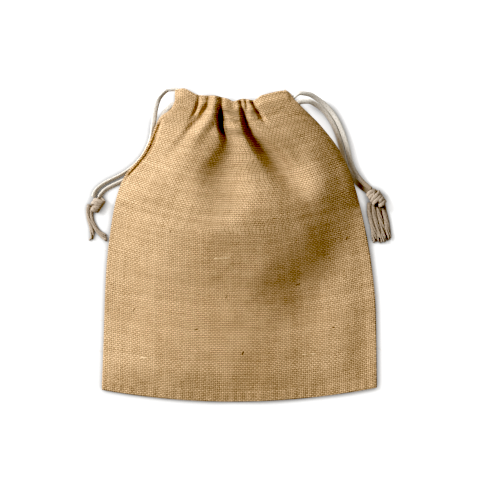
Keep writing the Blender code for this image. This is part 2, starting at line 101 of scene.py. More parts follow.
# The lie of the two panels along the sack. The edges are the heights of each panel's
# side edges, crown is how high the front stands over its edges, crown_at is the share
# of the width where it is highest, the bulges are the powers of the rise on its left
# and right flanks, and back_sweep tells how late the back rises towards its edges.
LIE_COLUMNS = ("y", "front_edge", "back_edge", "crown", "crown_at", "left_bulge",
               "right_bulge", "back_sweep")
LIE = (
    (-143, 2.55, 0.75, 4, 0.34, 0.8, 0.9, 30),
    (-90, 2.55, 0.75, 11.7, 0.39, 0.94, 1.09, 30),
    (-50, 2.55, 0.75, 13, 0.4, 1.05, 0.82, 30),
    (-10, 2.8, 1, 22.6, 0.46, 1.03, 0.84, 26),
    (20, 4.8, 3, 29.2, 0.46, 1.14, 1.15, 20),
    (45, 7.4, 5.6, 23.5, 0.44, 0.75, 0.57, 14),
    (70, 9.8, 8, 18.9, 0.33, 1.18, 0.35, 8),
    (95, 14, 12.2, 20.2, 0.35, 0.97, 0.35, 6),
    (106, 17, 15.2, 16.2, 0.41, 0.68, 0.35, 6),
    (114, 21.5, 10, 11.2, 0.47, 0.6, 0.39, 6),
    (120, 25, 4.2, 7.3, 0.5, 0.55, 0.52, 6),
    (128, 27, 3, 5.3, 0.5, 0.52, 0.51, 6),
    (142, 27.2, 2.6, 7.5, 0.5, 0.5, 0.5, 6),
)

# Valleys and ridges of the front panel below the mouth. Each is a list of places along
# its own path, with how far it reaches to the left and right of it and how deep it is.
FOLD_COLUMNS = ("y", "x", "left_width", "right_width", "depth")
VALLEYS = (
    ((98, -50.5, 7, 8, 0), (108, -44, 5.5, 6, 1.1), (115, -41, 4.2, 4.6, 1.9),
     (121, -38.8, 3.4, 3.8, 2.9), (127, -37, 3, 3.2, 2.4), (134, -36, 3, 3, 1),
     (142, -35.5, 3, 3, 0.5)),
    ((78, -64.6, 14.1, 18, 0), (90, -51.5, 10.2, 13.5, 2.1), (102, -43.8, 8, 10, 2.8),
     (112, -36.4, 6.4, 8, 3.4), (120, -31.2, 5.6, 6, 3.3), (128, -27.2, 4.6, 5, 2.4),
     (142, -26, 4.4, 4.4, 1.2)),
    ((15, -30.6, 38.6, 38.9, 0), (40, -11.8, 29.8, 29.7, 3.9), (60, -14.9, 28.6, 29.7, 6.6),
     (74, -12.8, 22.5, 23, 5.2), (88, -6.4, 15.5, 15.6, 4.3), (97, -9.5, 10, 12, 6),
     (106, -12.5, 8, 9, 5.5), (114, -15.2, 6.5, 7, 4.5), (124, -16, 3.8, 3.8, 1.8),
     (142, -16, 3, 3, 1.3)),
    ((94, -12.4, 4.4, 4.4, 0), (100, -15.4, 4.2, 4, 7), (106, -17, 4.2, 3.6, 12),
     (111, -17.2, 4.2, 3.4, 10), (117, -17.6, 3.6, 3.2, 7), (122, -17.6, 2.8, 2.8, 2),
     (128, -17.6, 2.6, 2.8, 0)),
    ((35, 51.1, 24.1, 25.8, 0), (57, 45.2, 22.3, 24.4, 4.5), (66, 38.2, 19.2, 24.5, 6.5),
     (75, 30.4, 16.2, 24.5, 8.3), (86, 20.4, 12, 20.3, 9.3), (97, 11.2, 8.4, 14, 9.2),
     (107.5, 6, 5.6, 8.5, 8), (120, 2.8, 4.4, 4.2, 5.2), (131, 0.8, 3.8, 3.6, 3),
     (142, 0.6, 3.6, 3.6, 1.6)),
    ((112, 8, 3, 3, 0), (118, 7, 2.8, 2.8, 2.4), (124, 6, 2.8, 2.8, 3.8),
     (130, 5, 2.8, 2.8, 3.4), (142, 4.6, 2.8, 2.8, 1.8)),
    ((107, 23.5, 4, 5, 0), (113, 19.8, 3.8, 5, 3), (118, 16.6, 3.8, 4.6, 4.8),
     (123, 13.6, 3.4, 3.8, 4.6), (128, 11.2, 2.9, 2.9, 3), (134, 10.4, 2.8, 2.8, 1.4),
     (142, 10, 2.8, 2.8, 0.8)),
)
RIDGES = (
    ((85, -52.3, 16.2, 16.2, 0), (98, -39, 13, 13, 2.1), (110, -28, 9, 9, 3.2),
     (120, -23.5, 7, 6, 3), (142, -21.5, 6, 5, 1.6)),
    ((5, 84, 22, 22, 0), (30, 71.5, 19.4, 19.4, 0), (52, 72, 19.8, 19.8, 2.7),
     (72, 68.7, 16.6, 16.6, 2.1), (95, 51.3, 12.5, 12.5, 0)),
    ((-130, 93.1, 29.2, 29.2, 0), (-85, 84.7, 41.1, 41.1, 2.3), (-45, 94.4, 27.2, 27.2, 1),
     (0, 103.5, 19.7, 19.7, 0)),
    ((-130, -62.1, 39.3, 39.3, 0), (-60, -64.8, 39.1, 39.1, 1), (0, -74.4, 33.3, 33.3, 1.4),
     (40, -83.1, 26.9, 26.9, 1.8), (66, -75.8, 20.9, 20.9, 0)),
)
# Folds of the back panel under the mouth, which rise into the sack.
BACK_FOLDS = (
    ((88, -52, 14, 14, 0), (112, -38, 8, 8, 3.5), (142, -36, 6, 6, 4.5)),
    ((70, -26, 16, 16, 0), (105, -17, 8, 8, 4.5), (142, -17, 6, 6, 5)),
    ((62, 8, 18, 18, 0), (100, 3, 9, 9, 4.5), (142, 1, 6.5, 6.5, 5)),
    ((78, 40, 16, 16, 0), (108, 22, 8, 8, 4), (142, 19, 6, 6, 5)),
    ((96, 58, 12, 12, 0), (118, 38, 7, 7, 3), (142, 34, 6, 6, 4)),
)
# The crease that the drawn side seam makes at the sack's left shoulder.
SEAM_CREASE = (
    (60, -103, 2, 2, 0), (68, -94.5, 2.6, 2.6, 3.5), (77, -85.8, 3, 3, 5),
    (85, -80.2, 3.2, 3.2, 5.5), (94, -76.2, 3.2, 3.2, 5.5), (104, -73, 2.8, 2.8, 4),
    (114, -69.2, 2.4, 2.4, 0),
)

# The slope that falls to the lower right: the two ends of its foot, its width, the
# share of the crown that is left beyond it, and the shares of its length over which
# it comes in and dies out.
SLOPE_FOOT = ((128.5, 7.3), (51.7, -69.5))
SLOPE_WIDTH = 57
SLOPE_KEEPS = 0.22
SLOPE_COMES_IN = (-0.45, 0.15)
SLOPE_DIES_OUT = (0.8, 1.45)

CORNER_REACH = 8.0  # how far along the sack the tables' corners are evened out
GATHERS_FROM = (88, 108)  # y over which that evening fades out, below the casing

# Cord routes from the left knot, through the casing, to the right knot.
FRONT_CORD_LEFT = (
    (-131.8, 43.9, 3.6), (-131, 46.6, 2.6), (-128.6, 50.6, 1.9), (-122.8, 55.4, 1.8),
    (-115.4, 59.4, 1.8), (-107, 63.6, 1.8), (-98.8, 69, 1.8), (-91.4, 75.8, 1.8),
    (-85.2, 84.2, 1.8), (-81, 94, 1.8), (-78.6, 104, 2.6), (-77.3, 112.6, 5),
    (-75.8, 121.2, 9.4), (-73.2, 129.8, 14), (-68.8, 135.6, 17), (-63.4, 139.2, 19.4),
    (-58, 139.4, 21), (-53.6, 135.6, 21.4),
)
FRONT_CORD_RIGHT = (
    (44.6, 127.8, 22.2), (48.6, 132.8, 21.6), (54.4, 136, 18.6), (61.8, 135.4, 13.6),
    (70.6, 130.8, 8.8), (78.6, 124.6, 5.4), (85, 116.8, 3.6), (90.4, 106.9, 3.2),
    (94.6, 95.6, 3.8), (97.4, 85.6, 4.6), (99.4, 77, 4.8), (102.4, 68.6, 4.6),
    (106.6, 61.6, 4.8), (111, 56.4, 5.6), (115, 52.8, 6.4), (117.8, 50.6, 6.8),
)
BACK_CORD_LEFT = (
    (-126.6, 43.4, 3.4), (-125, 45.8, 2.4), (-121.4, 49.8, 1.9), (-114.6, 53.8, 1.8),
    (-106.4, 57.6, 1.8), (-99, 61.4, 1.8), (-91.4, 66.6, 1.8), (-84.2, 73.2, 1.8),
    (-78.4, 82, 1.8), (-75, 92, 1.8), (-73, 101.6, 2), (-71.9, 110, 3),
    (-69.6, 116.6, 5.2), (-65.2, 122, 7.5), (-59.6, 126.4, 8.8),
)
BACK_CORD_RIGHT = (
    (49.6, 125.6, 8.6), (54.8, 129, 8), (61.6, 129.4, 6.6), (69, 126.4, 4.8),
    (76, 121, 3.2), (81.6, 113.8, 2.2), (86.2, 105, 1.8), (89.8, 95.4, 1.8),
    (92.5, 84.6, 1.8), (95.2, 74.4, 1.8), (99.2, 65.4, 1.8), (104.4, 57.8, 1.8),
    (109.6, 52.8, 1.9), (113.6, 49.8, 2.4), (116, 48, 2.8),
)
# The part of both cords inside the casings: its first x, its last x and its points.
CASING_RUN = (-50, 38, 9)

# Each knot: its name, centre, the way to where the cords enter it, its half length, its
# half width and half height at the middle of the wraps, its turns and the CAD node.
KNOTS = (
    ("left_knot", (-128.4, 37.0, 4.0), 0.96, 4.9, 4.5, 2.8, 1.3, "knot_left"),
    ("right_knot", (122.8, 42.6, 4.9), 2.15, 6.8, 5.4, 3.6, 1.8, "knot_right"),
)
KNOT_CORD = (3.5, 2.0)  # width and thickness of the cords in the knots

# Each free tail's name, width and route from its knot.
TAILS = (
    ("tail_left_1", 2.8, (
        (-135.8, 36, 3.4), (-136.8, 31, 2), (-136.4, 25.4, 1.5), (-134.9, 19.6, 1.4),
        (-133.4, 14, 1.4), (-132.9, 9.4, 1.4), (-134, 4.6, 1.4),
    )),
    ("tail_left_2", 2.8, (
        (-133.2, 34.4, 2.6), (-134, 28.4, 1.5), (-133.2, 22.6, 1.4), (-131.2, 17.4, 1.4),
        (-128, 12.6, 1.4), (-124.2, 8.8, 1.4), (-119.8, 5.6, 1.4),
    )),
    ("tail_right_1", 3.4, (
        (117, 37.6, 2.4), (117, 31, 1.9), (118.4, 23.4, 1.8), (120.6, 14.4, 1.8),
        (122.6, 3.2, 1.8),
    )),
    ("tail_right_2", 3.4, (
        (120.9, 35.8, 2.6), (121.2, 30, 2), (122.7, 23, 1.8), (124.8, 13.4, 1.8),
        (126.5, 2.6, 1.8),
    )),
    ("tail_right_3", 3.4, (
        (124.9, 35.8, 2.6), (125.6, 30, 2), (127.1, 23, 1.8), (129, 13.8, 1.8),
        (130.4, 3.4, 1.8),
    )),
    ("tail_right_4", 3.4, (
        (128.9, 37, 2.4), (130.2, 31, 1.9), (132, 23.4, 1.8), (133.5, 14.4, 1.8),
        (134.6, 5, 1.8),
    )),
)

# ------ sizes of the looks
CLOTH = 0.9  # thickness of the visible cloth
WARP_PITCH = 1.75  # from one lengthwise thread to the next
WEFT_PITCH = 1.67  # from one crosswise thread to the next
CUT_WIDTH = 250.0  # each panel's flat width between its seams
HEM_SEWN_OFF = 1.6 * CLOTH  # how far off its panel the hem is sewn
HEM_TURNS_TO_SEAM = 0.55  # share of the hem's depth from which it nears that seam
SEAM_ROLL = 0.42  # radius of the fold along each seam
ALLOWANCE = 7.0  # depth of the seam allowance inside the folds
ALLOWANCE_LIFTS = 0.18  # how far it lifts the cloth over it
ALLOWANCE_SLOPE = 0.9  # half the width over which that lift dies out
PUCKER = 0.34  # height of the small gathers beside the seams
PUCKER_REACH = 6  # how far from the seam they fade
ROW_DENT = 0.5  # how deep the casing's row of stitches pulls the cloth in
ROW_DENT_REACH = 1.3  # half the width of that dent
CRUMPLE_LENGTHS = (9, 70)  # shortest and longest of the cloth's low waves
CRUMPLE_WAVES = 34  # how many there are
CRUMPLE_SLOPE = 0.008  # how steep each is

CORD_SIZE = (4.4, 2.3)  # width and thickness of the flat braided cord
BRAID_STRANDS = 6  # crossing strands around the cord each way
BRAID_PITCH = 2.4  # length in which a strand passes one place
BRAID_ROUNDNESS = 0.8  # 1 gives an oval cord, and less a boxier one
BRAID_RELIEF = 0.05  # how far its strands stand out, as a share of its size
TAIL_YARN = 1.35  # thickness of the loose yarns at the tails
LEFT_YARNS = (7, 0.2, 0.8)  # their count, how far they spread, and how unevenly
RIGHT_YARNS = (14, 0.24, 0.8)
LEFT_CORE = (3.6, 2.2)  # width and thickness of the braid inside the yarns
RIGHT_CORE = (4.6, 2.7)
# How far the flat cords are turned from facing up, as (share of the length, degrees).
FRONT_TWIST = (
    (0, 30), (0.04, 58), (0.09, 62), (0.21, 58), (0.25, 4), (0.29, 8), (0.32, 45),
    (0.365, 45), (0.4, 0), (0.6, 0), (0.68, -45), (0.72, -20), (0.78, 20), (0.9, 10),
    (1, 30),
)
BACK_TWIST = (
    (0, 40), (0.07, 36), (0.25, 20), (0.4, 0), (0.6, 0), (0.69, -20), (0.74, 10),
    (0.79, 30), (0.9, 0), (1, 20),
)

STITCH = (2.3, 3.6, 0.62)  # length, pitch and thickness of the casing's stitches
STITCHES_BELOW_MOUTH = CASING + 0.2
HAIR = 0.14  # thickness of a stray fibre
HAIR_LENGTHS = (2.5, 8.0)  # the shortest and longest of them
# Bits of husk and thick places in the front's yarns: x, y, length, width and direction.
HUSKS = (
    (52.6, -35, 1.9, 0.8, 0.4), (2.9, -96.4, 1.6, 0.8, 1.2), (-39.5, -75.6, 1.9, 0.8, 0.2),
    (-95.2, -58, 1.2, 0.6, 1), (84, -74, 1.2, 0.6, 0.5), (31, 24, 1.2, 0.6, 0.3),
    (-62, 12, 1.1, 0.5, 1.4), (96, 6, 1.1, 0.6, 0.8), (-12, -46, 1, 0.5, 1.1),
)
SLUBS = (
    (-15.5, -11.5, 13, 1.2, 0.03), (62, -98, 10, 1.1, 0.06),
    (-84, -101, 9, 1, -0.05),
)

# Where the jute is painted a little darker as shade: x, y, how far it reaches and how strong it
# is.
PAINTED_SHADE_PATCHES = ((9, -109, 32, 0.12), (47, -43, 32, 0.08))

# How the threads wander from an even grid, in threads: how far, and the scale, detail,
# stretch and the seeds for warp and weft of the noise that says so.
WANDER = ((2.6, 0.07, 2, 0.4, 0, 9), (0.5, 0.42, 1, 0.6, 3, 7))
WARP_HALF, WEFT_HALF = 0.37, 0.39  # half a yarn's width, in threads
# Painted shade: the colour of the gaps between the yarns and of their low sides.
JUTE_GAP_SHADE = (0.05, 0.025, 0.01)
JUTE_DARK, JUTE_LIGHT = (0.345, 0.223, 0.118), (0.895, 0.665, 0.436)

# The cords' painted shade in the gaps between strands, darkest and lightest fibres: clean, at
# the tassel, and elsewhere.
CLEAN_TONES = ((0.61, 0.57, 0.505), (0.74, 0.705, 0.64), (0.9, 0.875, 0.82))
# Darker brown-grey tones for the tassel's cotton.
BROWN_GREY_TONES = ((0.22, 0.172, 0.126), (0.31, 0.25, 0.195), (0.48, 0.41, 0.335))
TANNED_TONES = ((0.29, 0.23, 0.178), (0.38, 0.315, 0.25), (0.55, 0.475, 0.395))
# Brown tones for the dirt and painted shade on the clean cord.
DIRT_AND_SHADE_TONES = ((0.24, 0.185, 0.13), (0.44, 0.37, 0.29))
# Where the clean cord is made browner, partly as dirt and partly as painted shade where it runs
# along the sack's sides: the x in metres where that starts, the x where it is complete, and how
# strong it is there.
DIRT_AND_SHADE_SPANS = ((0.101, 0.111, 1.0), (-0.079, -0.088, 0.3))

FRONT_GRID, BACK_GRID = (210, 176), (130, 110)  # columns and rows of the panels' meshes
ROW_PACKING = 1.15  # above 1, rows crowd towards the mouth

EYE_HEIGHT = 2.0  # camera above the floor, in metres
VIEW_WIDTH = 0.4332  # width of the floor that it sees, in metres
EYE_X, EYE_Y = 0.0002, 0.0047  # the place that it looks down on
KEY_PLACE = (-4.5, 2.25, 3.45)  # the lamp's place and size, in metres
KEY_SIZE, KEY_POWER, KEY_COLOUR = 2.1, 600, (0.95, 0.97, 1)
SKY_COLOUR, SKY_STRENGTH = (1, 0.92, 0.82), 0.34
FLOOR_TONE, FLOOR_GLOW = 0.26, 0.87
CONTACT_REACH = 0.007  # how far the soft shadow around the sack reaches, in metres
BLACK = 0.1  # light that the picture shows as black


# ------ curves and tables
def smooth(low, high, at):
    """0 below low and 1 above high, with an even rise between them."""
    share = np.clip((at - low) / (high - low), 0, 1)
    return share * share * (3 - 2 * share)


def through(places, values, at):
    """A smooth curve through the values that never runs past them."""
    places, values = np.asarray(places, float), np.asarray(values, float)
    slopes = np.diff(values) / np.diff(places)
    before, after = slopes[:-1], slopes[1:]
    same_way = before * after > 0
    total = np.where(same_way, before + after, 1)
    tangents = np.zeros(len(places))
    tangents[1:-1] = np.where(same_way, 2 * before * after / total, 0)
    tangents[0], tangents[-1] = slopes[0], slopes[-1]
    at = np.clip(at, places[0], places[-1])
    i = np.clip(np.searchsorted(places, at) - 1, 0, len(places) - 2)
    span = places[i + 1] - places[i]
    s = (at - places[i]) / span
    return (values[i] * (1 + 2 * s) * (1 - s) ** 2
            + values[i + 1] * s * s * (3 - 2 * s)
            + tangents[i] * span * s * (1 - s) ** 2
            + tangents[i + 1] * span * s * s * (s - 1))


def curve(table, at):
    """The second column of a table, read smoothly at a value of its first column."""
    places, values = np.array(table, float).T
    return through(places, values, at)


def column(table, columns, name, at):
    """The named column of a table, read smoothly at a value of its first column."""
    return curve(np.array(table, float)[:, [0, columns.index(name)]], at)


def run_along(line):
    """The length of a line of points up to each of them."""
    steps = np.linalg.norm(np.diff(line, axis=0), axis=1)
    return np.concatenate([[0], np.cumsum(steps)])


def at_runs(line, run, wanted):
    """The points of a line where its length so far has these values."""
    return np.stack([np.interp(wanted, run, axis) for axis in line.T], axis=1)


def along(points, shares):
    """Points at these shares of the length of a smooth curve through points."""
    points = np.array(points, float)
    chord = run_along(points)
    fine = np.linspace(0, chord[-1], 40 * len(points))
    line = np.stack([through(chord, axis, fine) for axis in points.T], axis=1)
    run = run_along(line)
    return at_runs(line, run, np.asarray(shares) * run[-1])


def unit(vectors):
    return vectors / np.maximum(np.linalg.norm(vectors, axis=-1, keepdims=True), 1e-9)


# ------ form of the sack
def edges_at(y):
    """The x of the left and right edge at these y."""
    return [curve(np.array(edge)[:, ::-1], y) for edge in (LEFT_EDGE, RIGHT_EDGE)]


def off_sides(x, y):
    """How far these places are from the nearer side edge."""
    left, right = edges_at(y)
    return np.minimum(x - left, right - x)


def share_across(x, y):
    """The share of the width at which these places lie, from the left edge."""
    left, right = edges_at(y)
    return np.clip((x - left) / (right - left), 0, 1)


def bow(across):
    """1 in the middle of a row and 0 at its ends."""
    return 1 - (2 * across - 1) ** 2


def plan(across, up):
    """Where the weft row at this share of the height lies, seen from above."""
    (left, left_y), (right, right_y) = (along(edge, [up])[0] for edge in (LEFT_EDGE, RIGHT_EDGE))
    y = left_y + (right_y - left_y) * across + curve(ROW_BOW, up) * bow(across)
    return left + (right - left) * across, y + curve(MOUTH, across) * up ** RUFFLE_POWER


def mouth_y(x):
    """The y of the mouth's edge at this x."""
    xs, ys = plan(np.linspace(0, 1, 200), 1.0)
    return np.interp(x, xs, ys)


def bottom_y(x):
    """The y of the bottom edge at this x."""
    (left, left_y), (right, right_y) = LEFT_EDGE[0], RIGHT_EDGE[0]
    across = np.clip((x - left) / (right - left), 0, 1)
    return left_y + (right_y - left_y) * across + BOTTOM_BOW * bow(across)


@functools.lru_cache(maxsize=None)
def evened(table, columns, name):
    """The named column every half millimetre of y, its corners evened below the gathers."""
    y = np.arange(-150, 150, 0.5)
    reach = CORNER_REACH * (1 - smooth(*GATHERS_FROM, y))
    weights = ((-1, 1), (-0.5, 2), (0, 3), (0.5, 2), (1, 1))
    total = sum(weight for _, weight in weights)
    return y, sum(weight * column(table, columns, name, y + step * reach) / total
                  for step, weight in weights)


def softly(name, y, table=LIE, columns=LIE_COLUMNS):
    """The named column at these y, read from its evened curve."""
    return np.interp(y, *evened(table, columns, name))


def furrow(x, y, rows):
    """The depth of one fold at these places: a rounded trough along its path."""
    middle, left, right, depth = (softly(name, y, rows, FOLD_COLUMNS)
                                  for name in FOLD_COLUMNS[1:])
    away = np.abs(x - middle) / np.where(x < middle, left, right)
    return depth * (0.5 + 0.5 * np.cos(np.pi * np.clip(away, 0, 1)))


def furrows(x, y, folds):
    """The depth of several folds together."""
    return sum(furrow(x, y, rows) for rows in folds)


def beyond_slope(x, y):
    """0 on the crown's side of the falling slope and 1 past its foot."""
    start, end = np.array(SLOPE_FOOT)
    length = np.linalg.norm(end - start)
    run_x, run_y = (end - start) / length
    across = (x - start[0]) * run_y - (y - start[1]) * run_x
    down = ((x - start[0]) * run_x + (y - start[1]) * run_y) / length
    ends = smooth(*SLOPE_COMES_IN, down) * (1 - smooth(*SLOPE_DIES_OUT, down))
    return (1 - smooth(0, SLOPE_WIDTH, across)) * ends


def quarter_wave(share):
    """From 0 to 1, steep at first and level in the end."""
    return np.sin(np.pi / 2 * np.clip(share, 0, 1))


def crown(x, y):
    """How high the front panel stands over its edges, before its folds."""
    across = share_across(x, y)
    top = softly("crown_at", y)
    left = quarter_wave(across / top) ** softly("left_bulge", y)
    right = quarter_wave((1 - across) / (1 - top)) ** softly("right_bulge", y)
    foot = quarter_wave((y - bottom_y(x)) / BOTTOM_ROUND) ** BOTTOM_BULGE
    kept = 1 - (1 - SLOPE_KEEPS) * beyond_slope(x, y)
    return softly("crown", y) * np.where(across < top, left, right) * foot * kept


def crumple(x, y):
    """The slight unevenness of soft cloth: low waves of all sizes and directions."""
    chance = np.random.default_rng(11)
    height = 0
    for length in np.geomspace(*CRUMPLE_LENGTHS, CRUMPLE_WAVES):
        angle, phase = chance.uniform(0, 2 * np.pi, 2)
        onward = (np.cos(angle) * x + np.sin(angle) * y) * 2 * np.pi / length
        height = height + CRUMPLE_SLOPE * length / (2 * np.pi) * np.sin(onward + phase)
    return height


def gathers(at, off_seam, pitch, wander, wander_pitch):
    """Small waves along a seam, which die out in the cloth beside it."""
    wave = np.sin(pitch * at + wander * np.sin(wander_pitch * at))
    dying = np.exp(-np.clip(off_seam, 0, 15 * PUCKER_REACH) / PUCKER_REACH)
    return PUCKER * wave * dying * smooth(0, 2, off_seam)


def puckers(x, y):
    """Small gathers that the side seams and the bottom seam pull into the cloth."""
    return (gathers(y, off_sides(x, y), 0.74, 1.2, 0.13)
            + gathers(x, y - bottom_y(x), 0.69, 1.4, 0.11))


def over_allowance(x, y):
    """How far the cloth is lifted where it lies on the seam allowances inside."""
    off_seams = np.minimum(off_sides(x, y), y - bottom_y(x))
    ends = smooth(ALLOWANCE - ALLOWANCE_SLOPE, ALLOWANCE + ALLOWANCE_SLOPE, off_seams)
    return ALLOWANCE_LIFTS * (1 - ends)


def over_cord(z, below_mouth):
    """The cloth's height z, held up by the cord where it is in the casing."""
    over = z - CASING_FLOOR
    held_up = CASING_FLOOR + (over + np.sqrt(over ** 2 + 0.4)) / 2
    in_casing = 1 - smooth(CASING - 3, CASING + 1, below_mouth)
    return z + (np.maximum(held_up, z) - z) * in_casing


def front_z(x, y):
    """Height of the front panel's middle surface."""
    across = share_across(x, y)
    off_seams = smooth(0, SEAM_SHARE, np.minimum(across, 1 - across))
    folds = furrows(x, y, RIDGES) - furrows(x, y, VALLEYS)
    z = softly("front_edge", y) + crown(x, y) + folds * off_seams
    below_mouth = mouth_y(x) - y
    z = over_cord(z, below_mouth)
    z = z - FRONT_LIP_DIPS * (1 - smooth(0, LIP_ROLL, below_mouth))
    z = z - ROW_DENT * np.exp(-((below_mouth - CASING) / ROW_DENT_REACH) ** 2)
    z = z - furrow(x, y, SEAM_CREASE) + crumple(x, y) * off_seams + puckers(x, y)
    return z + over_allowance(x, y) + (CAD_CLOTH - CLOTH) / 2


def back_z(x, y):
    """Height of the back panel's middle surface."""
    at_edge = softly("back_edge", y)
    sweep = smooth(BACK_SWEEPS_FROM, 1, np.abs(2 * share_across(x, y) - 1))
    sweep = sweep ** (column(LIE, LIE_COLUMNS, "back_sweep", y) / 4)
    z = BACK_LIES + (at_edge - BACK_LIES) * sweep - furrow(x, y, SEAM_CREASE)
    lip = 1 - smooth(0, LIP_ROLL, mouth_y(x) - y)
    z = np.maximum(z, BACK_LIES + furrows(x, y, BACK_FOLDS)) + BACK_LIP_LIFTS * lip
    return z - (CAD_CLOTH - CLOTH) / 2


# ------ meshes
def cells(grid):
    """The four corners of every cell of a grid, in the order of a face's corners."""
    corners = grid[:-1, :-1], grid[:-1, 1:], grid[1:, 1:], grid[1:, :-1]
    return np.stack(corners, axis=2)


def make_mesh(name, points, faces, threads):
    """A mesh of points in millimetres; threads are the UV map of its faces' corners."""
    mesh = bpy.data.meshes.new(name)
    mesh.from_pydata((points * MM).tolist(), [], faces.tolist())
    mesh.uv_layers.new(name="Threads").data.foreach_set("uv", threads.ravel())
    mesh.shade_smooth()
    return mesh


def in_scene(name, data):
    """A new object in the scene for this mesh, camera or light."""
    made = bpy.data.objects.new(name, data)
    SCENE.collection.objects.link(made)
    return made


def show(name, mesh, material, node=None):
    """An object of its own for this mesh, which rides on the part's only body."""
    made = in_scene(name, mesh)
    mesh.materials.append(material)
    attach(made, "root")
    if node:
        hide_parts(node)
    return made


# ------ panels
def on_cloth(x, y, height, lift=0):
    """Points on a panel at these places, or lifted off it by this much."""
    return np.stack([x, y, height(x, y) + lift], axis=1)


def weft_row(up, count, height):
    """One row of points, spread evenly along the cloth from edge to edge."""
    fine = np.linspace(0, 1, 700)
    run = run_along(on_cloth(*plan(fine, up), height))
    across = np.interp(np.linspace(0, run[-1], count + 1), run, fine)
    return on_cloth(*plan(across, up), height)


def thread_counts(row, folds):
    """How many warp threads lie to the left of each point of a row.

    The cloth that is gathered into a row's folds lies hidden at their bottoms.
    """
    run = run_along(row)
    x, y = row[:, 0], row[:, 1]
    hidden = sum(np.maximum(furrow(x, y, rows), 0) ** 3 for rows in folds) + 1e-3
    share = np.concatenate([[0], np.cumsum((hidden[1:] + hidden[:-1]) / 2 * np.diff(run))])
    slack = max(CUT_WIDTH - run[-1], 0)
    cloth = run * min(CUT_WIDTH / run[-1], 1) + slack * share / share[-1]
    return cloth / WARP_PITCH


def body_rows(columns, rows, height, folds):
    """The rows of a panel from its bottom seam to the mouth, with their thread counts."""
    shares = 1 - (1 - np.linspace(0, 1, rows + 1)) ** ROW_PACKING
    points = np.array([weft_row(up, columns, height) for up in shares])
    warps = np.array([thread_counts(row, folds) for row in points])
    middle = points[:, columns // 4: -columns // 4]
    steps = np.linalg.norm(np.diff(middle, axis=0), axis=2).mean(axis=1)
    run = np.concatenate([[0], np.cumsum(steps)])
    wefts = np.broadcast_to(run[:, None] / WEFT_PITCH, warps.shape)
    return points, np.stack([warps, wefts], axis=2)


def casing_rows(points, threads, height, hem_z, side):
    """Adds the turn over the mouth and the casing's hem inside, as further rows.

    side is -1 where the hem lies under its panel and 1 where it lies over it.
    """
    mouth, top = points[-1], threads[-1]
    rows, counts = [], []
    for angle in np.linspace(0, np.pi, 8)[1:]:
        rows.append(mouth + [0, TURN * np.sin(angle), side * TURN * (1 - np.cos(angle))])
        counts.append(top + [0, TURN * angle / WEFT_PITCH])
    start, turned_over = rows[-1], counts[-1]
    middle = start[:, 0].mean()
    for share in np.linspace(0, 1, 17)[1:]:
        x, y, z = start.T
        x = middle + (x - middle) * (1 - HEM_NARROWS * smooth(0, 1, share))
        y = y - CASING * share
        z = z + (hem_z - z) * smooth(0, HEM_LEVELS, share)
        sewn = height(x, y) + side * HEM_SEWN_OFF
        z = z + (sewn - z) * smooth(HEM_TURNS_TO_SEAM, 1, share)
        rows.append(np.stack([x, y, z], axis=1))
        counts.append(turned_over + [0, CASING * share / WEFT_PITCH])
    return np.concatenate([points, rows]), np.concatenate([threads, counts])


def seam_fold(edge, counts, out, onward, way):
    """The fold along a seam and its allowance inside, as lines of points and counts.

    out is the way out of the cloth, onward how the thread counts run on there for each
    millimetre, and way is -1 where the fold turns down and +1 where it turns up.
    """
    out, onward = np.asarray(out), np.asarray(onward)
    lines = []
    for angle in np.linspace(0, np.pi, 7)[1:]:
        raised = np.array([0, 0, way * SEAM_ROLL * (1 - math.cos(angle))])
        lines.append((edge + out * SEAM_ROLL * math.sin(angle) + raised,
                      counts + onward * SEAM_ROLL * angle))
    folded, folded_counts = lines[-1]
    for depth in (ALLOWANCE / 2, ALLOWANCE):
        lines.append((folded - out * depth, folded_counts + onward * depth))
    return zip(*lines)


def with_seams(points, threads, way):
    """Adds the folds along the left, right and bottom edge to a panel's grid."""
    for onward in (-1 / WARP_PITCH, 1 / WARP_PITCH):
        out = unit((points[:, 0] - points[:, 1]) * [1, 1, 0])
        lines, counts = seam_fold(points[:, 0], threads[:, 0], out, [onward, 0], way)
        # Turned round, so that the next edge comes first.
        points = np.concatenate([np.stack(lines[::-1], 1), points], 1)[:, ::-1]
        threads = np.concatenate([np.stack(counts[::-1], 1), threads], 1)[:, ::-1]
    lines, counts = seam_fold(points[0], threads[0], [0, -1, 0], [0, -1 / WEFT_PITCH], way)
    return np.concatenate([lines[::-1], points]), np.concatenate([counts[::-1], threads])


def panel(name, grid, height, folds, hem_z, side, node):
    """One panel of the sack, as a thin sheet with its casing and seam folds."""
    points, threads = body_rows(*grid, height, folds)
    points, threads = casing_rows(points, threads, height, hem_z, side)
    points, threads = with_seams(points, threads, side)
    index = np.arange(points[..., 0].size).reshape(points.shape[:2])
    mesh = make_mesh(name, points.reshape(-1, 3), cells(index).reshape(-1, 4), cells(threads))
    made = show(name, mesh, JUTE, node)
    shell = made.modifiers.new("thickness", "SOLIDIFY")
    shell.thickness = CLOTH * MM
    shell.offset = 0
    return made


# ------ materials
def joined_by(name):
    """A method that joins a signal and another value in a math node."""
    return lambda signal, other: signal.graph.math(name, signal, other)


class Signal:
    """A node's output in a material, which sums and products can be written with."""

    def __init__(self, graph, socket):
        self.graph, self.socket = graph, socket

    __add__ = __radd__ = joined_by("ADD")
    __sub__ = joined_by("SUBTRACT")
    __mul__ = __rmul__ = joined_by("MULTIPLY")
    __truediv__ = joined_by("DIVIDE")

    def __rsub__(self, other):
        return self.graph.math("SUBTRACT", other, self)


